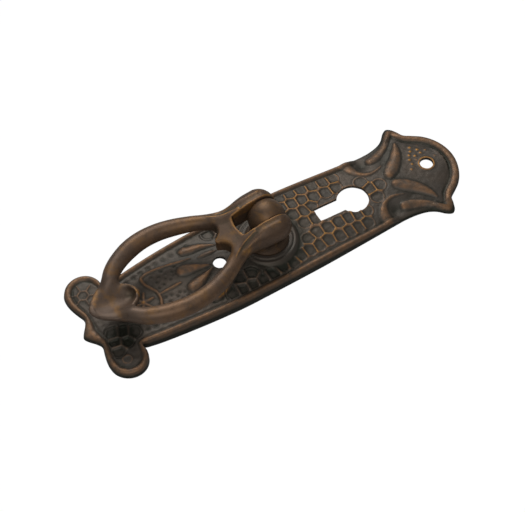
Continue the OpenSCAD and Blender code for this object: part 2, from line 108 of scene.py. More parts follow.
CREST = [(-66, 1.5), (-62.4, 2.1), (-56.4, 2.7), (-50, 3.3), (-35, 3.95), (-18, 4), (0, 3.9), (10, 3.75), (15, 3.55),
         (21, 3.2), (27, 2.75), (32, 2.45), (38, 2.2), (45, 1.65), (52, 1.7), (66, 1.7)]
CROWN = [(-60, 1.9), (-57, 2.3), (-50, 2.9), (-40, 3.8), (-30, 4.5), (-19, 4.8), (-5, 4.7), (5, 4.4), (16, 3.8),
         (29, 3.1), (43, 2.9), (56, 2.3), (62, 2.1)]
HALF_WIDTH = [(-66, 16), (-56.4, 16), (-52.4, 9.9), (-46, 10.4), (-28, 12.2), (-10, 12.8), (10, 12.4), (29, 11.5),
              (38, 11.2), (44, 11.5), (49, 12.9), (52.5, 13.8), (57, 9.3), (60.6, 5.6)]

# The rim from the outline to the field's edge: share of the way, share of the crest's height, and drop.
# Beside the neck it has no bead, and slopes plainly by shares of the field edge's height.
RIM = [(0, 0, 0), (0.03, 0.45, 0), (0.07, 0.72, 0), (0.2, 0.95, 0), (0.42, 1, 0), (0.6, 1, 0.14), (0.75, 1, 0.5),
       (0.88, 1, 0.55), (1, 1, 0.4)]
PLAIN_RIM = [(0, 0), (0.03, 0.4), (0.07, 0.56), (0.2, 0.7), (0.42, 0.82), (0.75, 0.94), (1, 1)]
SEAT = [(0, 5.3), (7.3, 5.3), (7.75, 5.22), (8.0, 5), (8.25, 4.93), (8.5, 5), (8.8, 5.03), (9.1, 4.92),
        (9.4, 4.62), (9.9, 4.25), (10.6, 3.6), (11.6, 2.4), (14, 0)]

# Ornament as lines of x, y, half width on the right side; the left is its mirror image
LEAF = [(2.1, 43.7, 1.9), (2.9, 44.8, 2.25), (3.9, 46, 2.4), (6.5, 48.7, 2.05), (9.2, 50.7, 1.45), (12, 52.1, 0.5)]
SIDE_LEAF = [(10, 41.6, 1.6), (10.2, 43, 1.75), (10.7, 44.6, 1.7), (11.9, 47.3, 1.35), (13.4, 49.5, 1.15),
             (15.1, 51.4, 1.05), (17.2, 53.2, 0.9)]
SCROLL = [(6.3, 43.5, 0.3), (5.6, 41.2, 0.55), (5.45, 39, 0.75), (6.2, 36.9, 0.95), (7.9, 35.3, 1.3), (10, 34.4, 1.8),
          (12.2, 34.2, 2)]
DROP = [(3.4, -30, 2), (3.2, -29.2, 2.15), (2.9, -28.1, 2.1), (2.1, -25.5, 1.4), (0.7, -21.8, 0.4)]
SIDE_DROP = [(9.6, -26.2, 1.7), (9.4, -25.2, 1.85), (9, -23.8, 1.8), (8.4, -21.3, 1.35), (7.6, -19.1, 0.9),
             (6.4, -16.7, 0.3)]
SMALL_LEAF = [(4.9, -23.4, 0.3), (4.9, -21.4, 0.85), (4.7, -19.4, 0.8), (4.4, -17.2, 0.25)]
SHIELD = [(6.1, -25.6, 0.3), (6.6, -28.3, 0.45), (7.7, -32.6, 0.5), (8.5, -36.8, 0.5), (8.6, -39.8, 0.6),
          (7.9, -41.6, 0.6), (5.8, -41.8, 0.6), (3.4, -40.9, 0.6), (1.6, -40.1, 0.6), (0, -39.9, 0.6)]
SHIELD_LINE = [(0, -32.2, 0.3), (0, -34.5, 0.65), (0, -37, 0.6), (0, -39.4, 0.4)]
# Each form's line, its share of the leaf height and how far its back is rubbed to copper
FORMS = [(LEAF, 1, 0.46), (SIDE_LEAF, 0.85, 0.46), (SCROLL, 0.7, 0.5), (DROP, 1, 0.5), (SIDE_DROP, 0.9, 0.48),
         (SMALL_LEAF, 0.5, 0.25), (SHIELD, 0.45, 0.46), (SHIELD_LINE, 0.45, 0.48)]
STAR_CENTRE = (0.0, -45.3)
LEFT_FIGURE = (-12.6, -59.0)
# Figures of six ridges each: middle, both ends of a ridge as distance, turn and half width, and height. The star, and
# the left lobe's six-sided ring and its spokes
SIX_RIDGES = [(STAR_CENTRE, (0, 0, 0.9), (3.4, 0, 0.5), 0.38), (LEFT_FIGURE, (1.8, 30, 0.4), (1.8, 90, 0.4), 0.26),
              (LEFT_FIGURE, (1.8, 30, 0.4), (3.9, 30, 0.3), 0.24)]
# The right lobe's round ring: middle and radius
RING_FIGURE = (14.0, -58.9, 1.4)
# Middles and strengths of the painted shadow that the thumb piece casts on the plate
THUMB_SHADOW = [(4.6, -54.6, 1), (8.6, -54.8, 1), (5.6, -58.4, 0.7)]

# Middles of the pressed six-sided cells, as the photograph shows them
CELLS = [
    (-6.3, 26.7), (-6.3, 23), (-6.8, 18.9), (-7.5, 15), (-7.8, 11.7), (-10.2, 27.7), (-10.35, 24.6), (-10.8, 20.7),
    (-11.3, 17), (-11.5, 13), (-11.8, 9.7), (-3.9, 16.2), (-3.5, 13.4), (-3.9, 9.9), (0.8, 14.8), (0.5, 11.3),
    (5.85, 30.1), (5.85, 27), (5.5, 23.85), (5.4, 20.5), (5.5, 16.4), (5.3, 12.7), (9.8, 28.2), (9.8, 24.75),
    (9.8, 21.7), (9.8, 18.2), (9.45, 14.2), (9.8, 10.7), (9.8, 7.4), (-0.5, 35.6), (-0.4, 38.9), (-4.1, 34.4),
    (3.15, 35.9), (-8.2, 8), (-11.9, 6), (6.2, 9), (10, 3.9), (11, 0.6), (10.4, -3), (11.4, -6.8), (11.6, -10.4),
    (11.4, -13.9), (11.3, -17.3), (8.3, -12.6), (8.2, -16.2), (11.1, -20.6), (-11.9, 2.4), (-11.6, -1.4),
    (-11.8, -5), (-11, -8.8), (-11.5, -12.4), (-8, -12.6), (-11.5, -16), (3.9, -58.2), (7, -58.9), (5.2, -55.4),
    (8.4, -56), (6.8, -52.6), (9.9, -59.6),
]
CELL_REACH = 2.2
CELL_FADE = (2.5, 2.9)
NEIGHBOURS = (4.6, 5.6)
# Down the plate, the thin bright walls turn to deep pits between these two places
CELLS_DEEPEN = (3, -9)
# A patch beside the ring's near side that is rubbed golden
GOLD_PATCH = [(10.4, -25.4, 0.5), (10.1, -23.2, 0.9), (9.4, -20.6, 0.5)]
# Raised dots beside the top hole: x, y and height
DOTS = [(-8.1, 55.2, 0.2), (-6.2, 56.8, 0.28), (-6.5, 54.4, 0.25), (-4.5, 56.9, 0.2), (-4.8, 58.9, 0.14),
        (-5.3, 53.2, 0.2), (-4.3, 54.7, 0.25), (-3.7, 52.3, 0.22), (-2.7, 54.2, 0.12), (-1.9, 52.1, 0.18),
        (-0.3, 50.8, 0.16), (-7.9, 57.8, 0.1), (-1.3, 60.1, 0.1)]
# Small dents: inside both rims, and over the shield's ground, on the right side and mirrored
RIM_DENTS = [(11, -24), (10.9, -26.8), (10.6, -29.7), (10.4, -32.6), (10.2, -35.3), (10, -38), (9.7, -40.7),
             (9.3, -43.4), (9, -46.1), (8.5, -48.8)]
SHIELD_DENTS = [(5.6, -36.9), (5.3, -34.5), (3.8, -35.3), (4.1, -38.2), (5, -32.6), (2.3, -36.8), (2.9, -34.2),
                (6.5, -38.9), (2, -38.6), (3.6, -33), (6.8, -35.2), (6.2, -31)]


def smooth(points, steps=6, closed=False):
    """A curve through all the points, each stretch a cubic of its four nearest points, for any number of columns."""
    p = np.asarray(points, float)
    if closed:
        a, b, c, d = np.roll(p, 1, 0), p, np.roll(p, -1, 0), np.roll(p, -2, 0)
    else:
        q = np.vstack([2 * p[0] - p[1], p, 2 * p[-1] - p[-2]])
        a, b, c, d = q[:-3], q[1:-2], q[2:-1], q[3:]
    t = np.linspace(0, 1, steps, endpoint=False)[None, :, None]
    a, b, c, d = (v[:, None, :] for v in (a, b, c, d))
    curve = 0.5 * (2 * b + (c - a) * t + (2 * a - 5 * b + 4 * c - d) * t ** 2 + (3 * b - a - 3 * c + d) * t ** 3)
    curve = curve.reshape(-1, p.shape[1])
    return curve if closed else np.vstack([curve, p[-1:]])


def both_halves(half):
    """A closed outline from its right half, whose two ends lie on the middle line."""
    return smooth(np.vstack([half, (half[-2:0:-1]) * (-1, 1)]), 8, closed=True)


def along(table, v, column=1):
    """A smooth table read at v."""
    t = smooth(table, 8)
    return np.interp(v, t[:, 0], t[:, column])


def unrolled(x, y):
    """Two arrays spread over one shape, as long rows, and that shape."""
    shape = np.broadcast(x, y).shape
    return *(np.broadcast_to(v, shape).ravel() for v in (x, y)), shape


def nearest(x, y, path, closed=False):
    """Distance from each point to a line of points, and where along the line that is, counted in points."""
    path = np.vstack([path, path[:1]]) if closed else path
    a, b = path[:-1, :2], path[1:, :2]
    ab = b - a
    length = most((ab ** 2).sum(1), 1e-12)
    x, y, shape = unrolled(x, y)
    distance, where = np.empty(x.size), np.empty(x.size)
    block = max(1, 4000000 // len(a))
    for i in range(0, x.size, block):
        px, py = x[i:i + block, None] - a[:, 0], y[i:i + block, None] - a[:, 1]
        t = np.clip((px * ab[:, 0] + py * ab[:, 1]) / length, 0, 1)
        d = (px - t * ab[:, 0]) ** 2 + (py - t * ab[:, 1]) ** 2
        k = d.argmin(1)
        rows = np.arange(len(k))
        distance[i:i + block] = np.sqrt(d[rows, k])
        where[i:i + block] = k + t[rows, k]
    return distance.reshape(shape), where.reshape(shape)


def within(x, y, loop):
    """Which points lie inside a closed outline, by the count of its edges to their right."""
    ax, ay = loop[:, 0], loop[:, 1]
    bx, by = np.roll(ax, -1), np.roll(ay, -1)
    rise = np.where(by == ay, 1e-12, by - ay)
    x, y, shape = unrolled(x, y)
    result = np.empty(x.size, bool)
    block = max(1, 4000000 // len(ax))
    for i in range(0, x.size, block):
        px, py = x[i:i + block, None], y[i:i + block, None]
        result[i:i + block] = (((ay > py) != (by > py)) & (px < (bx - ax) * (py - ay) / rise + ax)).sum(1) % 2 == 1
    return result.reshape(shape)


def step(a, b, v):
    """0 below a, 1 above b and smooth between."""
    t = np.clip((v - a) / (b - a), 0, 1)
    return t * t * (3 - 2 * t)


def bell(v, width):
    """1 where v is nothing, falling away on both sides over about the width."""
    return np.exp(-(v / width) ** 2)


def most(*values):
    """The greatest of several values at each place."""
    return reduce(np.maximum, values)


def ripple(x, y, seed, size):
    """Gentle random unevenness: twelve sine waves of about the given length, in seeded directions."""
    rng = np.random.default_rng(seed)
    total = 0
    for _ in range(12):
        a, length, phase = rng.uniform(0, 2 * np.pi), size * rng.uniform(0.7, 1.5), rng.uniform(0, 2 * np.pi)
        total = total + np.sin((x * np.cos(a) + y * np.sin(a)) * 2 * np.pi / length + phase)
    return total / 3.5


def ridge(x, y, path, height, power=0.75):
    """Height of a round-backed form that discs of the half width sweep along a line of (x, y, half width): full in
    the middle, nothing at its edges."""
    line = smooth(path, 16)
    line[:, 2] = most(line[:, 2], 0.05)
    low, high = (line[:, :2] - line[:, 2:]).min(0), (line[:, :2] + line[:, 2:]).max(0)
    near = (x > low[0]) & (x < high[0]) & (y > low[1]) & (y < high[1])
    result = np.zeros(x.shape)
    if near.any():
        d = np.hypot(x[near][:, None] - line[:, 0], y[near][:, None] - line[:, 1]) / line[:, 2]
        disc = d.argmin(1)
        full = height * np.minimum(1, line[disc, 2] / line[:, 2].max() + 0.25)
        result[near] = full * (1 - np.clip(d.min(1), 0, 1) ** 2) ** power
    return result


def honeycomb(x, y, wall_w, wall_h):
    """Raised walls half-way between neighbouring cell middles and round the outermost cells, with sunk floors
    between them: the height, and how far each place is a wall."""
    cells = np.array(CELLS)
    result, walls = np.zeros(x.shape), np.zeros(x.shape)
    near = (y < 43) & (np.abs(y + 38) > 12)
    px, py = x[near], y[near]
    d = np.sqrt((px[:, None] - cells[:, 0]) ** 2 + (py[:, None] - cells[:, 1]) ** 2)
    order = np.argsort(d, 1)[:, :2]
    first, second = np.take_along_axis(d, order, 1).T
    apart = np.sqrt(((cells[order[:, 0]] - cells[order[:, 1]]) ** 2).sum(1))
    to_wall = (second ** 2 - first ** 2) / (2 * apart)
    fade = 1 - step(*CELL_FADE, first)
    wall = bell(to_wall, wall_w) * fade * (1 - step(*NEIGHBOURS, apart))
    wall = most(wall, 0.7 * bell(first - CELL_REACH, wall_w))
    low = step(*CELLS_DEEPEN, py)
    sunk = (0.16 + 0.3 * low) * fade * step(0.2, 0.9, to_wall)
    result[near] = wall_h * wall - sunk
    walls[near] = wall * (1 - 0.75 * low)
    return result, walls


def bumps(x, y, places, radius):
    """Round-topped bumps of (x, y, height), negative for dents."""
    result = np.zeros(x.shape)
    for cx, cy, height in places:
        near = (np.abs(x - cx) < 3 * radius) & (np.abs(y - cy) < 3 * radius)
        result[near] += height * np.exp(-((x[near] - cx) ** 2 + (y[near] - cy) ** 2) / radius ** 2)
    return result


def figures(x, y):
    """Height of the figures: ridges turned 60 degrees from one another about their middles, the star's bump and the
    right lobe's round ring."""
    cx, cy, r = RING_FIGURE
    result = most(bumps(x, y, [(*STAR_CENTRE, 0.6)], 1.1), 0.22 * bell(np.hypot(x - cx, y - cy) - r, 0.35))
    for (cx, cy), *ends, height in SIX_RIDGES:
        for a in range(0, 360, 60):
            line = [(cx + r * math.sin(math.radians(a + turn)), cy + r * math.cos(math.radians(a + turn)), w)
                    for r, turn, w in ends]
            result = most(result, ridge(x, y, line, height))
    return result


OUTER_LOOP = both_halves(OUTLINE)
FIELD_LOOP = both_halves(FIELD)


def bare_plate(x, y):
    """Height of the plain face: a rounded rim between the two outlines, and inside it a field that swells to the
    middle line by 1 less the 2.4th power of the share of its half width. With it the distance from the outline, the
    share of the way over the rim, and what lies in the field."""
    side = np.abs(x)
    d_out, _ = nearest(x, y, OUTER_LOOP, closed=True)
    d_in, _ = nearest(x, y, FIELD_LOOP, closed=True)
    in_field = within(x, y, FIELD_LOOP)
    share = np.where(in_field, 1.0, d_out / most(d_out + d_in, 1e-9))
    crest = along(CREST, y) - np.where(y > 45, 0.3 * most(0, side - 14.2), 0)
    edge = most(0.9, crest - 0.4)
    neck = step(36, 38.5, y) * (1 - step(48.5, 51.5, y))
    bead = crest * along(RIM, share) - along(RIM, share, 2)
    rim = np.where(share < 1, bead + neck * (edge * along(PLAIN_RIM, share) - bead), edge)
    swell = most(along(CROWN, y), edge) - edge
    swell = swell * (1 - np.clip(side / along(HALF_WIDTH, y), 0, 1) ** 2.4)
    return np.where(in_field, edge + swell, rim), d_out, share, in_field


def ornament(x, y, leaf_h):
    """Height of the leaves, figures, dots and dents over the field, and how far they are rubbed to copper."""
    side = np.abs(x)
    form, rub = np.zeros(x.shape), np.zeros(x.shape)
    for path, share, bright in FORMS:
        back = ridge(side, y, path, 1, 0.9)
        form = most(form, leaf_h * share * back)
        rub = most(rub, bright * np.clip(1.5 * back, 0, 1))
    figure, dots = figures(x, y), bumps(x, y, DOTS, 0.42)
    form = most(form, figure) + dots
    form = form + bumps(side, y, [(*p, -0.3) for p in RIM_DENTS], 0.95)
    form = form + bumps(side, y, [(*p, -0.22) for p in SHIELD_DENTS], 0.5)
    form = form - 0.25 * bell(side - 7.6, 1.3) * bell(y - 45.5, 2.2)
    return form, most(rub, 1.4 * figure, 8 * dots, 1.1 * ridge(x, y, GOLD_PATCH, 1))


def plate_height(x, y, s):
    """Height of the plate's face with its ornament, cells, seat, hole lips and unevenness. With it the distance from
    the outline, the distance from the pedestal's axis, and how far the patina is rubbed off."""
    z, d_out, share, in_field = bare_plate(x, y)
    form, rub = ornament(x, y, s.leaf_height / MM)
    pocket = 0.75 * bell(np.abs(x) - 9.6, 2.1) * bell(y - 38.3, 2) * step(0.2, 1.6, d_out)
    r_seat = np.hypot(x, y - PEDESTAL_Y)
    clear = step(9.5, 11.5, r_seat)
    cells, walls = honeycomb(x, y, s.wall_width / MM, s.wall_height / MM)
    z = z + form - pocket + cells * clear * in_field
    z = most(z, np.interp(r_seat, *smooth(SEAT, 6).T))
    z = z + step(0.3, 1.2, d_out) * clear * (0.022 * ripple(x, y, 3, 2.6) + 0.012 * ripple(x, y, 4, 1.1))
    hole_lip = bell(np.hypot(x, y - TOP_HOLE_Y) - SCREW_R - 0.3, 0.32)
    key_lip = bell(nearest(x, y, keyhole(), closed=True)[0], 0.5)
    plain_neck = step(33.5, 36.5, y) * (1 - step(49, 51, y))
    on_rim = (share < 1) * 0.7 * bell(share - 0.38, 0.4) * (1 - plain_neck)
    rub = most(most(rub, on_rim, 0.85 * walls * in_field) * clear, 1.1 * hole_lip, 0.8 * key_lip)
    return z + 0.2 * hole_lip, d_out, r_seat, rub


def circle(cy, r):
    """A closed ring of 48 points."""
    a = np.linspace(0, 2 * np.pi, 48, endpoint=False)
    return np.stack([r * np.cos(a), cy + r * np.sin(a)], 1)


def keyhole():
    """The keyhole's outline: the round part from one side of the slot over to the other, then the slot's foot."""
    half = KEY_SLOT / 2
    turn = math.degrees(math.asin(half / KEY_R))
    round_part = arc((0, KEY_Y), KEY_R, -90 + turn, 270 - turn, 72)
    return np.vstack([round_part, [(-half, KEY_SLOT_END), (half, KEY_SLOT_END)]])


def evenly(loop, spacing):
    """Points at equal steps along a closed outline."""
    closed = np.vstack([loop, loop[:1]])
    s = np.concatenate([[0], np.cumsum(np.hypot(*np.diff(closed, axis=0).T))])
    n = max(8, int(s[-1] / spacing))
    t = np.linspace(0, s[-1], n, endpoint=False)
    return np.stack([np.interp(t, s, closed[:, 0]), np.interp(t, s, closed[:, 1])], 1)


def inset(loop, d):
    """An outline moved d to its left, square to its own direction."""
    way = np.roll(loop, -1, 0) - np.roll(loop, 1, 0)
    way /= np.linalg.norm(way, axis=1)[:, None]
    return loop + d * np.stack([-way[:, 1], way[:, 0]], 1)


def blur(grid, sigma):
    """A grid averaged with bell-curve weights along both its axes."""
    n = int(3 * sigma)
    weights = np.exp(-0.5 * (np.arange(-n, n + 1) / sigma) ** 2)
    weights /= weights.sum()
    for _ in range(2):
        padded = np.pad(grid, ((n, n), (0, 0)), mode="edge")
        grid = sum(w * padded[i:i + len(grid)] for i, w in enumerate(weights)).T
    return grid


def read_grid(grid, low, spacing, x, y):
    """Values between a grid's points, weighted by nearness."""
    u, v = (x - low[0]) / spacing, (y - low[1]) / spacing
    i = np.clip(u.astype(int), 0, grid.shape[0] - 2)
    j = np.clip(v.astype(int), 0, grid.shape[1] - 2)
    a, b = np.clip(u - i, 0, 1), np.clip(v - j, 0, 1)
    return ((1 - a) * (1 - b) * grid[i, j] + a * (1 - b) * grid[i + 1, j] + (1 - a) * b * grid[i, j + 1]
            + a * b * grid[i + 1, j + 1])


def new_object(name, points, faces, attributes=()):
    """A smooth mesh object from arrays of points in millimetres and of faces, with named values at its points."""
    mesh = bpy.data.meshes.new(name)
    faces = np.asarray(faces)
    mesh.vertices.add(len(points))
    mesh.vertices.foreach_set("co", (points * MM).astype(np.float32).ravel())
    size = faces.shape[1]
    mesh.loops.add(faces.size)
    mesh.loops.foreach_set("vertex_index", faces.astype(np.int32).ravel())
    mesh.polygons.add(len(faces))
    mesh.polygons.foreach_set("loop_start", np.arange(0, faces.size, size, dtype=np.int32))
    mesh.update(calc_edges=True)
    mesh.validate()
    mesh.shade_smooth()
    for key, values in dict(attributes).items():
        mesh.attributes.new(key, "FLOAT", "POINT").data.foreach_set("value", np.asarray(values, np.float32))
    obj = bpy.data.objects.new(name, mesh)
    bpy.context.scene.collection.objects.link(obj)
    return obj


def plan_grid(low, high, dx, dy):
    """Places in columns and rows from one corner to the other."""
    return np.meshgrid(np.arange(low[0], high[0], dx), np.arange(low[1], high[1], dy), indexing="ij")


def plate_places(spacing):
    """The plate's points in plan, joined into triangles that face up: its outline and holes, rings beside them and a
    three-way net between. With them the row numbers of each loop's points."""
    outline = evenly(OUTER_LOOP[::-1], spacing)
    holes = [circle(TOP_HOLE_Y, SCREW_R), circle(LOW_HOLE_Y, SCREW_R), circle(PEDESTAL_Y, SPIGOT_R),
             evenly(keyhole(), 0.3)]
    loops = [outline] + holes
    ends = np.cumsum([0] + [len(loop) for loop in loops])
    loop_rows = [np.arange(a, b) for a, b in zip(ends[:-1], ends[1:])]
    edges = np.vstack([np.stack([rows, np.roll(rows, -1)], 1) for rows in loop_rows])
    rings = [inset(outline, d) for d in OUTLINE_RINGS] + [inset(hole, -d) for hole in holes for d in HOLE_RINGS]
    gx, gy = plan_grid(OUTER_LOOP.min(0), OUTER_LOOP.max(0), spacing, spacing * 0.866)
    gx = gx + (np.arange(gx.shape[1]) % 2) * spacing / 2
    keep = within(gx, gy, OUTER_LOOP)
    keep &= nearest(gx, gy, outline, closed=True)[0] > OUTLINE_RINGS[-1] + spacing * 0.6
    for hole in holes:
        keep &= ~within(gx, gy, hole) & (nearest(gx, gy, hole, closed=True)[0] > HOLE_RINGS[-1] + spacing * 0.5)
    places = np.vstack(loops + rings + [np.stack([gx[keep], gy[keep]], 1)])
    made = geometry.delaunay_2d_cdt([Vector(p) for p in places.tolist()], edges.tolist(), [], 0, 1e-7)
    if len(made[0]) != len(places):
        raise RuntimeError("the plate's places changed when they were joined")
    triangles = np.array(made[2])
    xy = np.array([tuple(v) for v in made[0]])
    middle = xy[triangles].mean(1).T
    inside = within(*middle, outline)
    for hole in holes:
        inside &= ~within(*middle, hole)
    triangles = triangles[inside]
    e1, e2 = xy[triangles[:, 1]] - xy[triangles[:, 0]], xy[triangles[:, 2]] - xy[triangles[:, 0]]
    turned = e1[:, 0] * e2[:, 1] - e1[:, 1] * e2[:, 0] < 0
    triangles[turned] = triangles[turned][:, ::-1]
    return xy, triangles, loop_rows


def blurred_heights(x, y, s):
    """The face's height averaged over 0.7 mm and over 1.6 mm round each place."""
    start = OUTER_LOOP.min(0) - BLUR_MARGIN
    gx, gy = plan_grid(start, OUTER_LOOP.max(0) + BLUR_MARGIN, BLUR_STEP, BLUR_STEP)
    height = np.where(within(gx, gy, OUTER_LOOP), plate_height(gx, gy, s)[0], 1.2)
    return [read_grid(blur(height, width / BLUR_STEP), start, BLUR_STEP, x, y) for width in (0.7, 1.6)]


def plate_mesh(s):
    """The plate as two sheets over one set of places: its face and, a sheet's thickness below its average height, its
    hollow back, joined along the outline and round each hole."""
    xy, triangles, loop_rows = plate_places(s.plate_step / MM)
    x, y = xy.T
    z, d_out, r_seat, rub = plate_height(x, y, s)
    border = np.arange(len(xy)) < len(loop_rows[0])
    z = np.where(border, 0, z)
    soft, broad = blurred_heights(x, y, s)
    flat = 1 - step(5.6, 8, r_seat)
    under = flat * SEAT_FLOOR + (1 - flat) * most(0, soft - SHEET) * step(0.8, 1.6, d_out)
    under = most(np.where(border, 0, np.minimum(under, z - 0.35 * (d_out > 0.15))), 0)

    n = len(xy)
    lower = np.arange(n) + n * ~border
    faces = [triangles, lower[triangles[:, ::-1]]]
    for rows in loop_rows[1:]:
        a, b = rows, np.roll(rows, -1)
        faces += [np.stack([lower[b], b, a], 1), np.stack([lower[a], lower[b], a], 1)]
    points = np.vstack([np.stack([x, y, z], 1), np.stack([x, y, under], 1)])
    points = np.clip(points, *(np.array(corner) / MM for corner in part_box("back_plate")))
    used, faces = np.unique(np.vstack(faces), return_inverse=True)

    on_field = d_out > 2.4
    proud = z - soft
    rub = rub * (1 + on_field * (0.4 * np.clip(proud / 0.15, -1, 1) - 0.25))
    rub = rub + 0.2 * np.clip(proud / 0.25, 0, 1) * on_field
    # hollow darkens the recesses with grime and painted shade, and lays a ring of painted shadow round the pedestal's
    # seat where the arm's shade falls
    hollow = np.clip(-proud / 0.22, 0, 1) + 0.5 * np.clip((broad - z) / 0.5, 0, 1) + 0.7 * bell(r_seat - 11, 1.8)
    # painted shadow under the thumb piece, added to hollow
    hollow = hollow + bumps(x, y, THUMB_SHADOW, 2.4)
    values = {"rub": np.append(rub, np.zeros(n))[used], "hollow": np.append(hollow, np.full(n, 0.3))[used]}
    return points[used], faces.reshape(-1, 3), values


# ---- The handle as a field of distances, about its hinge axis with the ring along -Y ----
REST_SLOPE = 4.85
ARM_R = 5.4
# Down the right side: x, y, half the width outwards and inwards, half the depth, squareness, lift. The arm's sections
# are given whole, and the ring's round ones by x, y, radius and lift
CHAIN = [
    (4.3, 0, 5.2, 0.9, 4.3, 2.2, 1.1), (4.3, -4, 4.95, 0.9, 4.15, 2.4, 1.2), (4.8, -8, 4, 1.5, 3.5, 2.7, 1),
    (6.2, -11.8, 2.6, 2.4, 2.6, 2.5, 0.85), (7.9, -15.1, 2.35, 2.35, 2.45, 2.2, 0.6),
] + [(x, y, r, r, r, 2, lift) for x, y, r, lift in (
    (9.52, -17.82, 2.32, 0.4), (10.77, -20.32, 2.41, 0.3), (12.58, -25.11, 2.6, 0.3), (13.69, -30, 2.7, 0.5),
    (13.9, -35.38, 2.8, 0.7), (13, -40.43, 2.86, 0.8), (11.19, -45.11, 2.72, 0.75), (9.04, -48.52, 2.58, 0.6),
    (6.6, -50.7, 2.46, 0.45), (4.13, -52.14, 2.35, 0.2), (1.39, -52.93, 2.3, 0), (0, -53.2, 2.24, -0.3),
)]
# Down the thumb piece: y, half width, height of its edge, of its top and of its underside
TAB = [
    (-44.6, 0.5, -0.8, -0.3, -1.6), (-45.4, 2, -0.6, 0.6, -2.2), (-46.6, 3.4, -0.3, 1.3, -2.6),
    (-48.5, 4.6, 0, 1.8, -2.75), (-51, 6, 0.2, 2, -2.75), (-53.5, 7, 0.4, 2, -2.7),
    (-55.3, 6.3, 0.7, 1.9, -2.5), (-57.2, 5, 1, 1.7, -2),
    (-59.2, 3.3, 1.1, 1.6, -1.2), (-60.4, 1.9, 1.1, 1.5, -0.4), (-61.1, 0.6, 1.1, 1.4, 0.3),
]
# Down the scoop in it: y, half width, height of its floor and of its rim
SCOOP = [
    (-46.1, 1.1, -0.6, 0.7), (-46.9, 2.6, -1.3, 1.2), (-47.9, 3.5, -1.6, 1.7), (-49.5, 4.5, -1.3, 2),
    (-52, 5.2, -0.5, 2.1), (-55, 4.9, 0.2, 2), (-57.5, 3.7, 0.8, 1.8), (-59.1, 1.9, 1.25, 1.7),
]
# On top of each arm a valley, and outside it a ridge that runs on to the bar
VALLEY = [(7.2, -12.5), (6, -9), (5.2, -5), (5.3, -1.5), (5.4, 1)]
CREASE = [(8.3, -12.6), (7.5, -9.3), (6.9, -6), (6.7, -2), (6.6, 1)]
WEB_HALF = [(-17.7, 8.4), (-15.7, 8), (-11.5, 5.9), (-7.5, 4.7)]
WEB_TOP = [(-17.7, 2.3), (-16, 2.7), (-14.5, 2.95), (-12, 3.35), (-10, 3.8), (-7, 4.4)]
WEB_LOW = -2.4
SCOOP_ENDS = (-46, -59.2)
LIP_Y = -45.5
BORE_CLEAR = 0.02
PIN_R = 1.5
PIN_RIGHT = 7.2
SLOT_HALF = 3.8
CROTCH = 10.4
CROTCH_RISE = 0.8
CROTCH_R = (SLOT_HALF ** 2 + CROTCH_RISE ** 2) / (2 * CROTCH_RISE)
SCALLOP = (4.4, -18.6)
SCALLOP_R = 3.65
# Corners of the grid that the field is read on, and how far round a point its surface's bend is read
HANDLE_BOX = ((-18.5, -62.5, -5), (18.5, 6.2, 6.6))
BEND_R = 0.45


def join(a, b, k):
    """The union of two fields with a fillet of about k."""
    h = np.clip(0.5 + 0.5 * (b - a) / k, 0, 1)
    return b + (a - b) * h - k * h * (1 - h)


def cut(a, b, k):
    """Field a less field b, with the edge rounded by about k."""
    return -join(-a, b, k)


def squircle(u, v, power):
    """Length of (u, v) in the measure whose unit circle is a rounded square."""
    return (np.abs(u) ** power + np.abs(v) ** power) ** (1 / power)


def oval(u, a, v, b, power, past):
    """Distance, nearly, from a body whose sections |u/a|^p + |v/b|^p = 1 shrink to nothing at ARM_R past its end."""
    u, v = np.abs(u) / a, np.abs(v) / b
    r = most((u ** power + v ** power) ** (1 / power), 1e-6)
    slope = np.hypot((u / r) ** (power - 1) / a, (v / r) ** (power - 1) / b)
    whole = np.hypot(r, past / ARM_R)
    return (whole - 1) / np.hypot(r * slope, past / ARM_R ** 2) * whole


